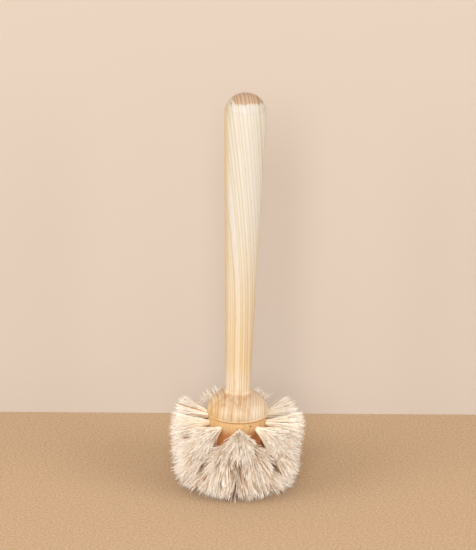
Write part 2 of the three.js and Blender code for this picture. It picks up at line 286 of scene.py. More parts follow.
ash_blush = (0.90, 0.74, 0.60)
ash_grain = (60.0, 9.0, 2.0)
ash_fibre = (780.0, 16.0, 3.0)
ash_pores = (1900.0, 70.0, 2.0)
ash_patches = (130.0, 130.0, 1.0)
blush_streaks = (230.0, 25.0, 2.0)
noise_middle = (0.3, 0.7)
warm_zone = (70.0 * mm, 210.0 * mm)
golden_years = (0.45, 0.9)
golden_zone = (60.0 * mm, 200.0 * mm)
golden_amounts = (0.85, 0.12)
left_flank_facing = (-0.68, -0.92)
left_flank_amount = 0.9
right_flank_facing = (0.7, 1.0)
right_flank_amount = 0.55
neck_begins = (60.0 * mm, 68.0 * mm)
neck_ends = (74.0 * mm, 88.0 * mm)
neck_amount = 0.75
lid_ends = (64.0 * mm, 70.0 * mm)
flesh_side = (2.0 * mm, 15.0 * mm)
flesh_amount = 0.75
fibre_lines = (0.38, 0.75)
fibre_amount = 0.16
pore_lines = (0.58, 0.70)
early_wood = (0.0, 0.5)
early_pore_amounts = (0.6, 0.15)
rim_burnish_and_highlight_band = (rim_height + 0.7 * mm, rim_height + 1.1 * mm)
rim_burnish_and_highlight_amount = 0.85
patch_soak = (-0.07, 0.05)
fibre_soak = 0.05
dry_side = (-10.5 * mm, -5.5 * mm)
dry_side_soak = -0.14
soak_and_shade_facing = (0.56, 0.68)
soak_and_shade_heights = (80.0 * mm, 200.0 * mm)
soak_and_shade_low_amount = 0.2
oil_spot = (-9.5 * mm, -5.5 * mm, 260.6 * mm)
oil_spot_reach = (0.6 * mm, 2.6 * mm)
oil_spot_ragged = 0.8 * mm
oil_spot_amount = 0.65
end_line_depths = (0.05, 0.6)
blush_side = (2.0 * mm, 16.0 * mm)
blush_side_amount = 0.25
blush_range = (0.45, 0.62)
dome_flank_light_facing = (0.25, 0.8)
shoulder_shade_heights = (200.0 * mm, 210.0 * mm)
shoulder_shade_facing = (-0.03, 0.22)
ash_roughness = (0.40, 0.56)
pore_hollow = -0.7
ash_relief = 0.25
relief_depth = 0.25 * mm
oil_coat = 0.12
oil_coat_roughness = 0.35
oiled_ash, tree, shader = new_finish("oiled_ash")
coordinates = put(tree, "ShaderNodeTexCoord", {})
place = coordinates.outputs["Object"]
spot = put(tree, "ShaderNodeSeparateXYZ", {"Vector": place})
height = spot.outputs["Z"]
side = spot.outputs["X"]
facing = put(tree, "ShaderNodeSeparateXYZ", {"Vector": coordinates.outputs["Normal"]})
ring, year = growth_rings(tree, place, ash_pith, ash_ring_width, ash_lean, ash_wander)
late_wood = greys(tree, ring, ash_late_wood)
ring_depth = reckon(tree, "MULTIPLY", late_wood, spread(tree, year, 0.0, 1.0, *ash_ring_depths))
warmth = spread(tree, height, *warm_zone, 1.0, 0.0)
ground = tint(tree, streaks(tree, place, *ash_grain).outputs["Fac"], ash_pale, ash_cream)
ground = tint(tree, warmth, ground, ash_warm)
golden_height = spread(tree, height, *golden_zone, *golden_amounts)
good_year = reckon(tree, "MULTIPLY", spread(tree, year, *golden_years), golden_height)
ground = tint(tree, good_year, ground, ash_golden)
left_flank = spread(tree, facing.outputs["X"], *left_flank_facing, 0.0, left_flank_amount)
right_flank = spread(tree, facing.outputs["X"], *right_flank_facing, 0.0, right_flank_amount)
right_flank = reckon(tree, "MULTIPLY", right_flank, warmth)
ground = tint(tree, reckon(tree, "ADD", left_flank, right_flank), ground, ash_golden)
neck = spread(tree, height, *neck_ends, neck_amount, 0.0)
neck = reckon(tree, "MULTIPLY", spread(tree, height, *neck_begins), neck)
ground = tint(tree, neck, ground, ash_neck)
lid = spread(tree, height, *lid_ends, 1.0, 0.0)
pale_side = reckon(tree, "MULTIPLY", lid, spread(tree, side, *flesh_side, 0.0, flesh_amount))
ground = tint(tree, pale_side, ground, ash_flesh)
grained = tint(tree, ring_depth, ground, tint(tree, warmth, ash_line, ash_line_warm))
fibre = streaks(tree, place, *ash_fibre).outputs["Fac"]
grained = tint(tree, spread(tree, fibre, *fibre_lines, 0.0, fibre_amount), grained, ash_line)
pore = spread(tree, streaks(tree, place, *ash_pores).outputs["Fac"], *pore_lines)
early = spread(tree, ring, *early_wood, *early_pore_amounts)
pored = tint(tree, reckon(tree, "MULTIPLY", pore, early), grained, ash_pore, "MULTIPLY")
# The foot of the rim band is painted a brighter gold: partly burnished wood, partly a painted highlight
# where the upright band catches the front light.
pored = tint(tree, spread(tree, height, *rim_burnish_and_highlight_band, rim_burnish_and_highlight_amount, 0.0), pored, ash_rim_burnish_and_highlight)
patchy = spread(tree, streaks(tree, place, *ash_patches).outputs["Fac"], *noise_middle, *patch_soak)
soak_and_upturn = spread(tree, fibre, *noise_middle, -fibre_soak, fibre_soak)
soak_and_upturn = reckon(tree, "ADD", facing.outputs["Z"], soak_and_upturn)
soak_and_upturn = reckon(tree, "ADD", soak_and_upturn, patchy)
soak_and_upturn = reckon(tree, "ADD", soak_and_upturn, spread(tree, side, *dry_side, dry_side_soak, 0.0))
# The browning of the faces that turn upwards is partly oil in the end grain and partly painted shade on the
# tops of the grip and the dome.
end_grain_and_top_shade = spread(tree, height, *soak_and_shade_heights, soak_and_shade_low_amount, 1.0)
end_grain_and_top_shade = reckon(tree, "MULTIPLY", spread(tree, soak_and_upturn, *soak_and_shade_facing), end_grain_and_top_shade)
from_spot = reckon_vector(tree, "DISTANCE", place, oil_spot)
ragged = spread(tree, fibre, *noise_middle, -oil_spot_ragged, oil_spot_ragged)
spotted = spread(tree, reckon(tree, "ADD", from_spot, ragged), *oil_spot_reach, oil_spot_amount, 0.0)
end_grain_and_top_shade = reckon(tree, "MAXIMUM", end_grain_and_top_shade, spotted)
soaked_and_shaded = tint(tree, spread(tree, ring_depth, *end_line_depths), ash_end_grain_and_shade, ash_end_line)
colour = tint(tree, end_grain_and_top_shade, pored, soaked_and_shaded, "MULTIPLY")
# The whole lid, dome and fillet, is multiplied darker and warmer: partly its own warmer tone, partly
# painted shade that holds down the extra light its upturned faces get.
colour = tint(tree, lid, colour, ash_dome_tone_and_shade, "MULTIPLY")
# The sideways-facing flanks of the dome are painted lighter: painted light, so that they do not fall darker
# than its front.
dome_flank_light = spread(tree, reckon(tree, "ABSOLUTE", facing.outputs["X"]), *dome_flank_light_facing)
colour = tint(tree, reckon(tree, "MULTIPLY", lid, dome_flank_light), colour, ash_flank_painted_light, "MULTIPLY")
blush = spread(tree, streaks(tree, place, *blush_streaks).outputs["Fac"], *blush_range)
blushing = reckon(tree, "MULTIPLY", lid, spread(tree, side, *blush_side, 1.0, blush_side_amount))
colour = tint(tree, reckon(tree, "MULTIPLY", blush, blushing), colour, ash_blush, "MULTIPLY")
# A band round the grip's shoulder, just under the end grain, is painted darker: painted shade that dims the
# highlight the lamps lay there.
shoulder_shade = spread(tree, facing.outputs["Z"], *shoulder_shade_facing)
shoulder_shade = reckon(tree, "MULTIPLY", spread(tree, height, *shoulder_shade_heights), shoulder_shade)
colour = tint(tree, shoulder_shade, colour, ash_shoulder_shade, "MULTIPLY")
tree.links.new(colour, shader.inputs["Base Color"])
tree.links.new(spread(tree, fibre, *noise_middle, *ash_roughness), shader.inputs["Roughness"])
hollow = reckon(tree, "ADD", reckon(tree, "MULTIPLY", pore, pore_hollow), fibre)
relief = put(tree, "ShaderNodeBump", {"Strength": ash_relief, "Distance": relief_depth, "Height": hollow})
tree.links.new(relief.outputs[0], shader.inputs["Normal"])
shader.inputs["Coat Weight"].default_value = oil_coat
shader.inputs["Coat Roughness"].default_value = oil_coat_roughness
handle.data.materials.append(oiled_ash)


# Block: a separate turned cup of warmer, browner wood that carries the hair. Three rings of nine blind
# holes and three in the end face are drilled for the tufts, each with a narrow hole behind it for the
# wire. The handle's foot closes it, and a brad through its wall holds the spigot.
block_radius = 19.3 * mm
block_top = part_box("brush_block")[1].z
block_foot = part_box("brush_block")[0].z
block_corner = 8.0 * mm
block_waist = 7.0 * mm
block_bore = 11.0 * mm
bore_floor = block_foot + 8.3 * mm
corner_steps = 16
mouth_ease = 0.4 * mm
mouth_steps = 4
block_steps = 96
block_crease = 35.0
head_turn = 4.0
hole_radius = 2.2 * mm
hole_depth = 6.0 * mm
hole_clear = 8.0 * mm
wire_hole_radius = 1.3 * mm
wire_hole_depth = 14.0 * mm
wire_hole_clear = 1.0 * mm
hole_sides = 28
tufts_round = 9
tufts_at_end = 3
upper_drop = 6.1 * mm
middle_rise = 6.5 * mm
end_reach = 5.5 * mm
upper_dip = 3.0
middle_dip = 20.0
lower_dip = 50.0
end_dip = 82.0
half_pitch = 180.0 / tufts_round
pin_turn = head_turn + 24.0
pin_height = rim_height - 3.0 * mm
pin_hole_radius = 0.64 * mm
pin_hole_middle = 15.0 * mm
pin_hole_length = 16.0 * mm
pin_hole_sides = 20
lower_mouth = (
    block_radius - block_corner + block_corner * math.cos(math.radians(lower_dip)),
    block_foot + block_corner - block_corner * math.sin(math.radians(lower_dip)),
)
drilled_rows = {
    "upper": ((block_radius, rim_height - upper_drop), upper_dip, head_turn, tufts_round),
    "middle": ((block_radius, bore_floor + middle_rise), middle_dip, head_turn + half_pitch, tufts_round),
    "lower": (lower_mouth, lower_dip, head_turn, tufts_round),
    "end": ((end_reach, block_foot), end_dip, head_turn, tufts_at_end),
}


def outward(turn, dip):
    """The direction that points out of the block at a turn from the front and dips below level, in
    degrees."""
    level = math.cos(math.radians(dip))
    return Vector((
        level * math.sin(math.radians(turn)),
        -level * math.cos(math.radians(turn)),
        -math.sin(math.radians(dip)),
    ))


def round_at(mouth, turn):
    """The point at a (radius, height) mouth and a turn from the front, in degrees."""
    return Vector((
        mouth[0] * math.sin(math.radians(turn)), -mouth[0] * math.cos(math.radians(turn)), mouth[1]
    ))


def set_along(point, aim):
    """The move that sets a shape at a point, with its height along the aim."""
    return Matrix.Translation(point) @ aim.to_track_quat("Z", "Y").to_matrix().to_4x4()


def drill_bit(bits, sides, radius, length, middle, aim):
    """Adds one round bit that lies along the aim."""
    bmesh.ops.create_cone(
        bits, cap_ends=True, segments=sides, radius1=radius, radius2=radius, depth=length,
        matrix=set_along(middle, aim),
    )


def tuft_hole_bits(radius, begin, end):
    """One bit for every tuft hole, from begin to end along the hole, counted outwards from its mouth."""
    bits = bmesh.new()
    for mouth, dip, first_turn, count in drilled_rows.values():
        for step in range(count):
            turn = first_turn + 360.0 * step / count
            aim = outward(turn, dip)
            middle = round_at(mouth, turn) + aim * ((begin + end) / 2)
            drill_bit(bits, hole_sides, radius, end - begin, middle, aim)
    return bits


def drill(piece, bits):
    """Cuts the bits out of a piece for good."""
    mesh = bpy.data.meshes.new("bits")
    bits.to_mesh(mesh)
    bits.free()
    cutter = bpy.data.objects.new("bits", mesh)
    bpy.context.scene.collection.objects.link(cutter)
    cut = piece.modifiers.new("drilled", "BOOLEAN")
    cut.operation = "DIFFERENCE"
    cut.solver = "EXACT"
    cut.object = cutter
    view = bpy.context.evaluated_depsgraph_get()
    drilled = bpy.data.meshes.new_from_object(piece.evaluated_get(view))
    piece.modifiers.clear()
    piece.data = drilled
    bpy.data.objects.remove(cutter)


block_outline = [(0.0, block_foot)]
block_outline += arc(
    (block_radius - block_corner, block_foot + block_corner), (block_corner, block_corner), -90, 0,
    corner_steps,
)
block_outline += [(block_radius, block_foot + block_corner + block_waist)]
block_outline += arc(
    (block_radius - mouth_ease, block_top - mouth_ease), (mouth_ease, mouth_ease), 0, 90, mouth_steps
)
block_outline += [(block_bore, block_top), (block_bore, bore_floor), (0.0, bore_floor)]
block = show("block_drilled", turn_on_lathe(block_outline, block_steps), block_crease)
drill(block, tuft_hole_bits(hole_radius, -hole_depth, hole_clear))
drill(block, tuft_hole_bits(wire_hole_radius, -wire_hole_depth, wire_hole_clear))
pin_aim = outward(pin_turn, 0.0)
pin_bit = bmesh.new()
drill_bit(
    pin_bit, pin_hole_sides, pin_hole_radius, pin_hole_length,
    round_at((pin_hole_middle, pin_height), pin_turn), pin_aim,
)
drill(block, pin_bit)
block.data.shade_smooth()
block.data.set_sharp_from_angle(angle=math.radians(block_crease))
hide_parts("brush_block")

pear_pith = (55.0 * mm, -30.0 * mm, 0.0)
pear_ring_width = 2.1 * mm
pear_wander = 4.0 * mm
pear_late_wood = ((0.0, 0.7), (0.12, 0.1), (0.6, 0.1), (0.96, 1.0))
pear_ring_depths = (0.1, 0.42)
pear_lit = (0.52, 0.345, 0.167)
pear_warm = (0.50, 0.297, 0.126)
pear_dark = (0.36, 0.16, 0.055)
pear_painted_shade = (1.0, 0.64, 0.46)
pear_rim_shadow = (0.74, 0.64, 0.55)
pear_pore = (0.6, 0.45, 0.34)
pear_grain = (60.0, 14.0, 2.0)
pear_fibre = (1100.0, 40.0, 3.0)
pear_pores = (2400.0, 120.0, 2.0)
pear_fibre_lines = (0.4, 0.75)
pear_fibre_amount = 0.45
pear_pore_amount = 0.5
painted_shade_zone = (rim_height - 11.0 * mm, rim_height - 5.0 * mm)
rim_shadow_zone = (block_top - 1.0 * mm, block_top - 0.5 * mm)
pear_roughness = (0.42, 0.6)
pear_relief = 0.3
oiled_pear, tree, shader = new_finish("oiled_pear")
place = put(tree, "ShaderNodeTexCoord", {}).outputs["Object"]
height = put(tree, "ShaderNodeSeparateXYZ", {"Vector": place}).outputs["Z"]
ring, year = growth_rings(tree, place, pear_pith, pear_ring_width, 0.0, pear_wander)
late_wood = greys(tree, ring, pear_late_wood)
ring_depth = reckon(tree, "MULTIPLY", late_wood, spread(tree, year, 0.0, 1.0, *pear_ring_depths))
ground = tint(tree, streaks(tree, place, *pear_grain).outputs["Fac"], pear_lit, pear_warm)
grained = tint(tree, ring_depth, ground, pear_dark)
fibre = streaks(tree, place, *pear_fibre).outputs["Fac"]
grained = tint(tree, spread(tree, fibre, *pear_fibre_lines, 0.0, pear_fibre_amount), grained, pear_dark)
pore = spread(tree, streaks(tree, place, *pear_pores).outputs["Fac"], *pore_lines)
pored = tint(tree, reckon(tree, "MULTIPLY", pore, pear_pore_amount), grained, pear_pore, "MULTIPLY")
# The block below the upper tufts is painted darker and redder: painted shade where the hair hangs over it.
colour = tint(tree, spread(tree, height, *painted_shade_zone, 1.0, 0.0), pored, pear_painted_shade, "MULTIPLY")
# A thin band just under the lid's rim is painted darker: a painted shadow under the rim's overhang.
colour = tint(tree, spread(tree, height, *rim_shadow_zone), colour, pear_rim_shadow, "MULTIPLY")
tree.links.new(colour, shader.inputs["Base Color"])
tree.links.new(spread(tree, fibre, *noise_middle, *pear_roughness), shader.inputs["Roughness"])
hollow = reckon(tree, "ADD", reckon(tree, "MULTIPLY", pore, pore_hollow), fibre)
relief = put(tree, "ShaderNodeBump", {"Strength": pear_relief, "Distance": relief_depth, "Height": hollow})
tree.links.new(relief.outputs[0], shader.inputs["Normal"])
block.data.materials.append(oiled_pear)


# Tufts: thirty bundles of pale horsehair with fawn, tan and a few dark hairs among the cream. Each bundle
# is folded over the draw wire and pulled into its hole until it jams, so the hairs fan out from its mouth.
# The whole head is then trimmed to a drum, and the lowest hairs carry the brush on their tips.
drum_heights = np.array([0.0, 1.0, 3.0, 6.0, 9.5, 13.0, 43.9, 48.0, 51.0, 53.5, 55.5]) * mm
drum_radii = np.array([33.5, 38.6, 42.2, 44.4, 45.4, 45.8, 46.2, 46.0, 45.2, 43.8, 41.0]) * mm
hairs_in_tuft = {"upper": 1050, "middle": 1140, "lower": 1140, "end": 750}
hair_radius = 0.13 * mm
hair_taper = 0.45
hair_girth = (0.55, 1.2)
coarse_girth = (1.5, 2.1)
coarse_share = 0.16
hair_sides = 3
hair_side_parts = 4.0
hair_crease = 180.0
hair_cuts = (0.09, 0.24, 0.42, 0.60, 0.78, 0.94)
hair_pitch = 4.0
hairs_in_bed_row = 30
bed_seam_reach = 1e-5
bed_end = 0.001
hair_sink = 4.5 * mm
hair_bundle = 1.85 * mm
tip_floor = 0.15 * mm
fan_half_angle = {"upper": 20.5, "middle": 27.5, "lower": 27.0, "end": 30.0}
front_fan_extra = 3.0
fan_hang = {"middle": 19.5, "lower": 45.0, "end": 86.0}
upper_hang = 6.5
upper_hang_behind = 4.0
upper_hang_pace = 2.5
hang_chance = 1.5
swing_chance = 2.0
fan_edge = 1.04
fan_crown = {"upper": 0.02, "middle": 0.09, "lower": 0.04, "end": 0.02}
crown_limit = 1.1
lock_count = 320
lock_sway = 0.12
lock_gather = (0.35, 0.9)
hair_sway = 0.04
loose_share = 0.2
loose_sway = {"upper": 0.07, "middle": 0.18, "lower": 0.16, "end": 0.16}
stray_share = 0.05
stray_stretch = np.array(((1.15,), (1.1,)))
stray_sway = np.array(((0.2,), (0.16,)))
stray_lengths = (0.95, 1.06)
shortest_strand = 4.0 * mm
longest_strand = 36.0 * mm
strand_steps = 80
lock_shortening = 0.18
short_share = {"upper": 0.18, "middle": 0.3, "lower": 0.3, "end": 0.3}
short_lengths = (0.62, 0.97)
dark_share = {"upper": 0.0, "middle": 0.02, "lower": 0.02, "end": 0.0}
dark_length = 0.85
hair_shortening = 0.045
parting_pitch = 360.0 / tufts_round
parting_width = 2.6
parting_depth = {"upper": 0.0, "middle": 0.12, "lower": 0.5, "end": 0.3}
bend_place = 0.40
bend_stiffness = 0.35
lock_curl = {"upper": 0.26 * mm, "middle": 0.55 * mm, "lower": 0.55 * mm, "end": 0.3 * mm}
hair_curl = 0.22 * mm
wild_curl = 1.6
curl_paces = (1.2, 3.2)
curl_growth = 1.4
lock_droop = 0.8 * mm
head_middle = np.array((0.0, 0.0, 34.0 * mm))
fur_softness = 0.2
shade_rows = 64
# Short locks lie deep under the long ones; outside the upper tufts their browner shade rows are partly
# painted shade in the valleys between locks.
short_lock_rows_and_valley_shade = {"upper": (24, 46), "middle": (44, 62), "lower": (44, 62), "end": (44, 62)}
dark_shades = (56, shade_rows)
lock_shade_share = 0.7
shade_chance = (-4, 5)
shade_row_inset = 0.1
# Where each row starts on the root-to-tip run of stain and painted shade.
root_stain_and_shade = {"upper": 0.64, "middle": 0.0, "lower": 0.0, "end": 0.0}
tip_bleach = {"upper": 0.94, "middle": 1.0, "lower": 1.0, "end": 1.0}
upright = (0.0, 0.0, 1.0)
chance = np.random.default_rng(20417)


def hair_bed(count):
    """Straight hairs side by side: three-sided, cut into short lengths, pointed at the tip and one unit
    tall."""
    bed = bmesh.new()
    bmesh.ops.create_cone(bed, cap_ends=True, segments=hair_sides, radius1=1.0, radius2=0.0, depth=1.0)
    bmesh.ops.remove_doubles(bed, verts=bed.verts, dist=bed_seam_reach)
    for cut in hair_cuts:
        bmesh.ops.bisect_plane(
            bed, geom=bed.verts[:] + bed.edges[:] + bed.faces[:], dist=bed_seam_reach / 10,
            plane_co=(0, 0, cut - 0.5), plane_no=(0, 0, 1),
        )
    bmesh.ops.recalc_face_normals(bed, faces=bed.faces)
    rows = count // hairs_in_bed_row
    for way, copies in (((hair_pitch, 0, 0), hairs_in_bed_row), ((0, hair_pitch, 0), rows)):
        bmesh.ops.spin(
            bed, geom=bed.verts[:] + bed.edges[:] + bed.faces[:], cent=(0, 0, 0), axis=(0, 0, 1),
            dvec=way, angle=0.0, steps=copies - 1, use_duplicate=True,
        )
    return bed


def some(share, count):
    """Picks a share of a count at random."""
    return chance.uniform(0.0, 1.0, count) < share


def on_disc(count):
    """Points spread evenly over a disc of radius one, in two rows: across and up."""
    turn = chance.uniform(0.0, math.tau, count)
    reach = np.sqrt(chance.uniform(0.0, 1.0, count))
    return reach * np.array((np.cos(turn), np.sin(turn)))


def unit(vectors):
    """Vectors scaled to a length of one."""
    return vectors / np.linalg.norm(vectors, axis=-1, keepdims=True)


def inside_drum(points):
    """Whether points lie inside the trimmed outline of the head."""
    reach = np.hypot(points[..., 0], points[..., 1])
    return (points[..., 2] > tip_floor) & (reach < np.interp(points[..., 2], drum_heights, drum_radii))


def gather_locks(row, count):
    """Where hairs sit in their bundle, where they lean in its fan, and which lock, loose or stray, each
    belongs to. Both places have two rows, across and up, in shares of the bundle and of the fan."""
    seat = on_disc(count)
    locks = on_disc(lock_count)
    lock = np.argmin(((seat[:, :, None] - locks[:, None, :]) ** 2).sum(axis=0), axis=1)
    locks += chance.normal(0.0, lock_sway, (2, lock_count))
    gather = chance.uniform(*lock_gather, count)
    lean = seat + gather * (locks[:, lock] - seat) + chance.normal(0.0, hair_sway, (2, count))
    loose = some(loose_share, count)
    lean = np.where(loose, lean + chance.normal(0.0, loose_sway[row], (2, count)), lean)
    stray = some(stray_share, count)
    kept = 1.0 / np.maximum(np.hypot(*lean) / fan_edge, 1.0)
    strayed = lean * stray_stretch + stray_sway * chance.normal(0.0, 1.0, (2, count))
    lean = np.where(stray, strayed, lean * kept)
    return seat, lean, lock, loose, stray


def trim(row, base, aims, lean, lock, stray):
    """How long each hair is once the head is trimmed to the drum, and which locks are short or dark. The
    edges of a fan are shorter, and narrow partings stand between the tufts."""
    count = len(base)
    steps = np.linspace(shortest_strand, longest_strand, strand_steps)
    out = ~inside_drum(base[:, None, :] + steps[None, :, None] * aims[:, None, :])
    out[:, -1] = True
    length = steps[np.argmax(out, axis=1)]
    crown = 1.0 - fan_crown[row] * np.minimum((lean ** 2).sum(axis=0), crown_limit)
    lock_length = 1.0 - lock_shortening * chance.uniform(0.0, 1.0, lock_count) ** 2
    short = some(short_share[row], lock_count)
    lock_length = np.where(short, lock_length * chance.uniform(*short_lengths, lock_count), lock_length)
    dark = some(dark_share[row], lock_count)
    lock_length = np.where(dark, lock_length * dark_length, lock_length)
    length = length * crown * lock_length[lock] * (1.0 - np.abs(chance.normal(0.0, hair_shortening, count)))
    length = np.where(stray, length * chance.uniform(*stray_lengths, count), length)
    tip = base + length[:, None] * aims
    tip_turn = np.degrees(np.arctan2(tip[:, 0], -tip[:, 1]))
    from_parting = np.mod(tip_turn + parting_pitch / 2, parting_pitch) - parting_pitch / 2
    length = length * (1.0 - parting_depth[row] * np.exp(-(from_parting / parting_width) ** 2))
    return length, short, dark


def pick_shades(row, lock, short, dark):
    """The shade row of each hair. Most follow their lock, and short locks are browner outside the upper
    tufts, partly as painted shade in the valleys under the long locks.
    """
    count = len(lock)
    lock_shade = chance.integers(0, shade_rows, lock_count)
    lock_shade = np.minimum(lock_shade, chance.integers(0, shade_rows, lock_count))
    lock_shade = np.where(short, chance.integers(*short_lock_rows_and_valley_shade[row], lock_count), lock_shade)
    follows = some(lock_shade_share, count)
    shade = lock_shade[lock] + chance.integers(*shade_chance, count)
    shade = np.where(follows, shade, chance.integers(0, shade_rows, count))
    shade = np.where(dark[lock], chance.integers(*dark_shades, count), shade)
    return np.clip(shade, 0, shade_rows - 1)


def map_hairs(mesh, row, shade, along, corner, is_tip):
    """Unrolls each hair onto its own shade row: along the row from root to tip, and round the hair across
    it. A face that closes the round, or ends in the tip, stays in one piece."""
    loop_vertex = np.empty(len(mesh.loops), dtype=np.int32)
    mesh.loops.foreach_get("vertex_index", loop_vertex)
    face_size = np.empty(len(mesh.polygons), dtype=np.int32)
    mesh.polygons.foreach_get("loop_total", face_size)
    face = np.repeat(np.arange(len(face_size)), face_size)
    around = corner[loop_vertex]
    at_tip = is_tip[loop_vertex]
    highest = np.full(len(face_size), -1.0)
    np.maximum.at(highest, face[~at_tip], around[~at_tip])
    lowest = np.full(len(face_size), float(hair_sides))
    np.minimum.at(lowest, face[~at_tip], around[~at_tip])
    closes = highest - lowest > hair_sides / 2
    around = np.where(closes[face] & (around < 0.5), around + hair_sides, around)
    middle = np.where(closes, hair_sides - 0.5, (highest + lowest) / 2)[face]
    around = np.where(at_tip, middle, around) / hair_sides
    flat = np.empty((len(loop_vertex), 2))
    flat[:, 0] = root_stain_and_shade[row] + (tip_bleach[row] - root_stain_and_shade[row]) * along[loop_vertex]
    flat[:, 1] = (shade[loop_vertex] + shade_row_inset + (1 - 2 * shade_row_inset) * around) / shade_rows
    mesh.uv_layers.new(name="OFBake").data.foreach_set("uv", flat.ravel())


def tuft(name, row, mouth, hole_aim, fan_aim, half_angle, count):
    """Lays the hairs of one bundle from its hole out to the drum."""
    aim = np.array(hole_aim)
    fan = np.array(fan_aim)
    side = unit(np.cross(fan, upright))
    lift = np.cross(side, fan)
    hole_side = unit(np.cross(aim, upright))
    hole_lift = np.cross(hole_side, aim)
    seat, lean, lock, loose, stray = gather_locks(row, count)
    half = math.tan(math.radians(half_angle))
    aims = unit(fan + half * (lean[0][:, None] * side + lean[1][:, None] * lift))
    base = np.array(mouth) + hair_bundle * (seat[0][:, None] * hole_side + seat[1][:, None] * hole_lift)
    length, short, dark = trim(row, base, aims, lean, lock, stray)
    tip = base + length[:, None] * aims
    bend = unit(bend_stiffness * aim + (1.0 - bend_stiffness) * aims)
    bend = base + bend_place * length[:, None] * bend
    curl = np.zeros((count, 3))
    for way in (side, lift):
        sway = chance.normal(0.0, lock_curl[row], lock_count)[lock] + chance.normal(0.0, hair_curl, count)
        curl += sway[:, None] * way
    curl = np.where((stray | loose)[:, None], curl * wild_curl, curl)
    curl_pace = chance.uniform(*curl_paces, lock_count)[lock]
    curl_start = chance.uniform(0.0, math.tau, lock_count)[lock]
    droop = chance.uniform(0.0, lock_droop, lock_count)[lock]
    piece = show(name, hair_bed(count), hair_crease)
    mesh = piece.data
    laid_out = np.empty(len(mesh.vertices) * 3)
    mesh.vertices.foreach_get("co", laid_out)
    laid_out = laid_out.reshape(-1, 3)
    column = np.rint(laid_out[:, 0] / hair_pitch).astype(int)
    bed_row = np.rint(laid_out[:, 1] / hair_pitch).astype(int)
    hair = bed_row * hairs_in_bed_row + column
    angle = np.arctan2(laid_out[:, 1] - bed_row * hair_pitch, laid_out[:, 0] - column * hair_pitch)
    corner = np.rint(angle / math.tau * hair_sides * hair_side_parts) / hair_side_parts
    corner = np.mod(corner, hair_sides)
    along = np.clip(laid_out[:, 2] + 0.5, 0.0, 1.0)
    is_tip = along > 1.0 - bed_end
    is_root = along < bed_end
    free = np.clip((along - hair_cuts[0]) / (1.0 - hair_cuts[0]), 0.0, 1.0)[:, None]
    spine = (1 - free) ** 2 * base[hair] + 2 * free * (1 - free) * bend[hair] + free ** 2 * tip[hair]
    wave = np.sin(curl_pace[hair] * math.pi * free[:, 0] + curl_start[hair]) - np.sin(curl_start[hair])
    spine += (wave * free[:, 0] ** curl_growth)[:, None] * curl[hair]
    spine[:, 2] -= droop[hair] * free[:, 0] ** 2
    spine = np.where(is_root[:, None], base[hair] - hair_sink * aim, spine)
    spine[:, 2] = np.maximum(spine[:, 2], np.where(is_tip, tip_floor, tip_floor + hair_radius))
    coarse = some(coarse_share, count)
    girth = np.where(coarse, chance.uniform(*coarse_girth, count), chance.uniform(*hair_girth, count))
    width = np.where(is_tip, 0.0, hair_radius * (1.0 - hair_taper * along) * girth[hair])
    twist = corner / hair_sides * math.tau + chance.uniform(0.0, math.tau, count)[hair]
    first = unit(np.cross(aims[hair], side))
    second = np.cross(aims[hair], first)
    round_way = np.cos(twist)[:, None] * first + np.sin(twist)[:, None] * second
    laid = spine + width[:, None] * round_way
    mesh.vertices.foreach_set("co", laid.ravel())
    soft_way = unit((1.0 - fur_softness) * round_way + fur_softness * unit(laid - head_middle))
    mesh.normals_split_custom_set_from_vertices(soft_way.tolist())
    shade = pick_shades(row, lock, short, dark)
    map_hairs(mesh, row, shade[hair], along, corner, is_tip)
    mesh.update()
    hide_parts(row + "_tufts")
    return piece


hair_white = (0.945, 0.885, 0.79)
hair_cream = (0.92, 0.795, 0.645)
hair_fawn = (0.77, 0.56, 0.345)
hair_tan = (0.53, 0.26, 0.095)
hair_brown = (0.30, 0.13, 0.055)
hair_dark = (0.16, 0.065, 0.03)
hair_shades = (
    (0.0, hair_white), (0.38, hair_white), (0.50, hair_cream), (0.58, hair_fawn), (0.62, hair_white),
    (0.74, hair_cream), (0.82, hair_fawn), (0.90, hair_tan), (0.96, hair_brown), (1.0, hair_dark),
)
# Along each hair the colour runs from brown roots to whiter tips: partly the hair's own stain and bleach,
# partly painted shade deep in the tufts where the roots lie.
root_to_tip_stain_and_shade = (
    (0.0, (0.40, 0.15, 0.05)), (0.22, (0.57, 0.29, 0.12)), (0.44, (0.84, 0.62, 0.42)),
    (0.70, (0.97, 0.915, 0.835)), (0.86, (0.985, 0.965, 0.935)), (1.0, (1.0, 1.045, 1.13)),
)
hair_roughness = (0.55, 0.42)
hair_shine = 0.12
hair_scales = 160.0
hair_scale_relief = 0.15
hair_scale_depth = 0.02 * mm
horsehair, tree, shader = new_finish("horsehair")
hair_map = put(tree, "ShaderNodeUVMap", {}, uv_map="OFBake").outputs["UV"]
strand = put(tree, "ShaderNodeSeparateXYZ", {"Vector": hair_map})
natural = shades(tree, strand.outputs["Y"], hair_shades)
stained_and_shaded = shades(tree, strand.outputs["X"], root_to_tip_stain_and_shade)
tree.links.new(tint(tree, 1.0, natural, stained_and_shaded, "MULTIPLY"), shader.inputs["Base Color"])
tree.links.new(
    spread(tree, strand.outputs["Y"], 0.0, 1.0, *hair_roughness), shader.inputs["Roughness"]
)
shader.inputs["Specular IOR Level"].default_value = hair_shine
scales = put(
    tree, "ShaderNodeTexNoise", {"W": strand.outputs["X"], "Scale": hair_scales, "Detail": 2.0},
    noise_dimensions="1D",
).outputs["Fac"]
relief = put(
    tree, "ShaderNodeBump",
    {"Strength": hair_scale_relief, "Distance": hair_scale_depth, "Height": scales},
)
tree.links.new(relief.outputs[0], shader.inputs["Normal"])


def upper_lean(turn):
    """How far an upper tuft's hair hangs below level: a little more at the front than behind."""
    away = (1.0 - math.cos(math.radians(turn))) / 2
    return upper_hang - upper_hang_behind * min(1.0, away * upper_hang_pace)


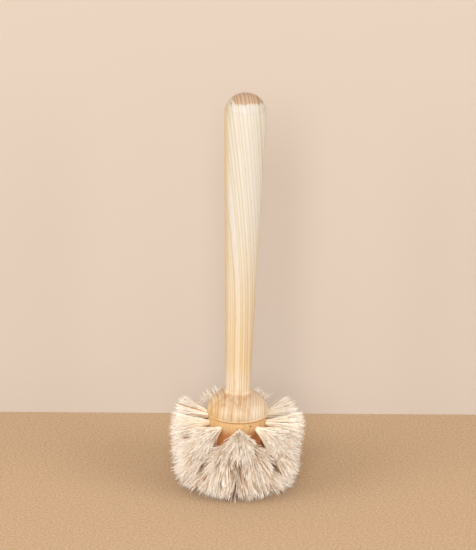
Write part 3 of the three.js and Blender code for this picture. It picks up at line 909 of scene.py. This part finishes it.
for row, (mouth, dip, first_turn, count) in drilled_rows.items():
    for step in range(count):
        turn = first_turn + 360.0 * step / count
        hang = upper_lean(turn) if row == "upper" else fan_hang[row]
        hang += chance.uniform(-hang_chance, hang_chance)
        swing = chance.uniform(-swing_chance, swing_chance)
        tuft_name = f"{row}_tuft_{step + 1}"
        half_angle = fan_half_angle[row]
        if tuft_name == "upper_tuft_1":
            half_angle += front_fan_extra
        piece = tuft(
            tuft_name, row, round_at(mouth, turn), outward(turn, dip), outward(turn + swing, hang),
            half_angle, hairs_in_tuft[row],
        )
        piece.data.materials.append(horsehair)


# Draw wires: soft drawn steel, one for each row. Each runs behind its holes inside the block and loops
# into every one round the fold of its tuft, so nothing of it shows once the handle closes the block.
wire_bright = (0.62, 0.60, 0.57)
wire_scuffed = (0.36, 0.33, 0.30)
wire_scuffs = 900.0
scuff_range = (0.4, 0.7)
scuff_amount = 0.5
wire_roughness = (0.25, 0.45)


def speckle(tree, scale, detail):
    """Even noise through a piece: scale is its repeats in a metre."""
    place = put(tree, "ShaderNodeTexCoord", {}).outputs["Object"]
    sockets = {"Vector": place, "Scale": scale, "Detail": detail}
    return put(tree, "ShaderNodeTexNoise", sockets).outputs["Fac"]


drawn_steel, tree, shader = new_finish("drawn_steel")
scuff = speckle(tree, wire_scuffs, 3.0)
scuffed = spread(tree, scuff, *scuff_range, 0.0, scuff_amount)
tree.links.new(tint(tree, scuffed, wire_bright, wire_scuffed), shader.inputs["Base Color"])
tree.links.new(spread(tree, scuff, *noise_middle, *wire_roughness), shader.inputs["Roughness"])
shader.inputs["Metallic"].default_value = 1.0
for row in drilled_rows:
    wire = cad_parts[row + "_draw_wire"]
    wire.data.materials.clear()
    wire.data.materials.append(drawn_steel)


# Locking pin: a small steel brad, driven through the wall of the block into the handle's spigot just
# under the rim. Its round head is dulled and dark, and lies level with the wood.
pin_radius = 0.5 * mm
pin_head = 0.6 * mm
pin_head_length = 0.8 * mm
pin_head_taper = 0.75
pin_head_ease = 0.15 * mm
pin_head_crown = 0.05 * mm
pin_length = 15.0 * mm
pin_point = 1.6 * mm
pin_steps = 20
pin_crease = 40.0
pin_brown = (0.20, 0.13, 0.08)
pin_dark = (0.11, 0.07, 0.045)
pin_tarnish = 1500.0
tarnish_range = (0.35, 0.7)
pin_roughness = (0.45, 0.7)
pin_metal = 0.8
pin_outline = [(0.0, -pin_length), (pin_radius, pin_point - pin_length)]
pin_outline += [(pin_radius, -pin_head_length), (pin_head, -pin_head_length * pin_head_taper)]
pin_outline += arc(
    (pin_head - pin_head_ease, -pin_head_ease), (pin_head_ease, pin_head_ease), 0, 90, mouth_steps
)
pin_outline += [(0.0, pin_head_crown)]
pin_shape = turn_on_lathe(pin_outline, pin_steps)
bmesh.ops.transform(
    pin_shape, verts=pin_shape.verts,
    matrix=set_along(round_at((block_radius, pin_height), pin_turn), pin_aim),
)
pin = show("locking_brad", pin_shape, pin_crease)
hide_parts("locking_pin")
dulled_steel, tree, shader = new_finish("dulled_steel")
tarnish = speckle(tree, pin_tarnish, 4.0)
tarnished = tint(tree, spread(tree, tarnish, *tarnish_range), pin_brown, pin_dark)
tree.links.new(tarnished, shader.inputs["Base Color"])
tree.links.new(spread(tree, tarnish, *noise_middle, *pin_roughness), shader.inputs["Roughness"])
shader.inputs["Metallic"].default_value = pin_metal
pin.data.materials.append(dulled_steel)


# Stage: a sheet of pale tan paper to stand on and a plain pinkish wall close behind it. The wall is
# there only from the front, so that the brush can be seen from behind too.
floor_reach = 4.0
wall_reach = 3.0
wall_distance = 120.0 * mm
wall_turn = math.radians(3.2)
paper_dark = (0.354, 0.240, 0.142)
paper_light = (0.480, 0.335, 0.211)
paper_speckle = 700.0
paper_roughness = 0.9
plaster_pink = (0.450, 0.382, 0.323, 1.0)
plaster_roughness = 0.95
stage_shine = 0.1


def flat_sheet(name, reach, move):
    """A square sheet for the stage, moved into its place."""
    shape = bmesh.new()
    bmesh.ops.create_grid(shape, x_segments=1, y_segments=1, size=reach, matrix=move)
    mesh = bpy.data.meshes.new(name)
    shape.to_mesh(mesh)
    shape.free()
    sheet = bpy.data.objects.new(name, mesh)
    bpy.context.scene.collection.objects.link(sheet)
    return sheet


floor = flat_sheet("floor", floor_reach, Matrix.Identity(4))
paper, tree, shader = new_finish("paper")
flecks = spread(tree, speckle(tree, paper_speckle, 3.0), *noise_middle)
tree.links.new(tint(tree, flecks, paper_dark, paper_light), shader.inputs["Base Color"])
shader.inputs["Roughness"].default_value = paper_roughness
shader.inputs["Specular IOR Level"].default_value = stage_shine
floor.data.materials.append(paper)

stood_up = Matrix.Rotation(wall_turn, 4, "Z") @ Matrix.Rotation(math.radians(90), 4, "X")
wall = flat_sheet("wall", wall_reach, Matrix.Translation((0.0, wall_distance, wall_reach)) @ stood_up)
plaster, tree, shader = new_finish("plaster")
shader.inputs["Base Color"].default_value = plaster_pink
shader.inputs["Roughness"].default_value = plaster_roughness
shader.inputs["Specular IOR Level"].default_value = stage_shine
behind = put(tree, "ShaderNodeNewGeometry", {}).outputs["Backfacing"]
clear = put(tree, "ShaderNodeBsdfTransparent", {})
one_sided = put(tree, "ShaderNodeMixShader", {0: behind, 1: shader.outputs[0], 2: clear.outputs[0]})
tree.links.new(one_sided.outputs[0], tree.nodes["Material Output"].inputs["Surface"])
wall.data.materials.append(plaster)


# Light: one broad soft lamp from the left, a weaker one from the right, a smaller one from behind the
# camera, and a bright warm white room all round.
brush_middle = (0.0, 0.0, 130.0 * mm)
lamps = {
    "key_lamp": ((-3.50, -2.00, 1.77), 2.6, 114.0),
    "fill_lamp": ((3.60, -1.80, 1.67), 2.6, 102.0),
    "front_lamp": ((-0.40, -3.60, 1.77), 1.8, 107.0),
}
room_colour = (1.0, 0.965, 0.925, 1.0)
room_strength = 0.86
for name, (place, size, power) in lamps.items():
    light = bpy.data.lights.new(name, "AREA")
    light.shape = "SQUARE"
    light.size = size
    light.energy = power
    lamp = bpy.data.objects.new(name, light)
    lamp.location = place
    lamp.rotation_euler = (Vector(brush_middle) - Vector(place)).to_track_quat("-Z", "Y").to_euler()
    bpy.context.scene.collection.objects.link(lamp)
room = bpy.data.worlds.new("room")
room.use_nodes = True
room.node_tree.nodes["Background"].inputs["Color"].default_value = room_colour
room.node_tree.nodes["Background"].inputs["Strength"].default_value = room_strength
bpy.context.scene.world = room
bpy.context.scene.view_settings.view_transform = "Standard"


# Camera: in front and a little above, with a long lens, and tipped slightly so that the handle leans to
# the right as it does in the picture.
camera_lens = 138.4
camera_sensor = 36.0
camera_place = Vector((-0.002, -1.296, 0.579))
camera_pitch = math.radians(18.5)
camera_roll = math.radians(1.55)
camera_data = bpy.data.cameras.new("camera")
camera_data.lens = camera_lens
camera_data.sensor_width = camera_sensor
camera = bpy.data.objects.new("camera", camera_data)
camera.matrix_world = (
    Matrix.Translation(camera_place)
    @ Matrix.Rotation(math.radians(90) - camera_pitch, 4, "X")
    @ Matrix.Rotation(camera_roll, 4, "Z")
)
bpy.context.scene.collection.objects.link(camera)
bpy.context.scene.camera = camera
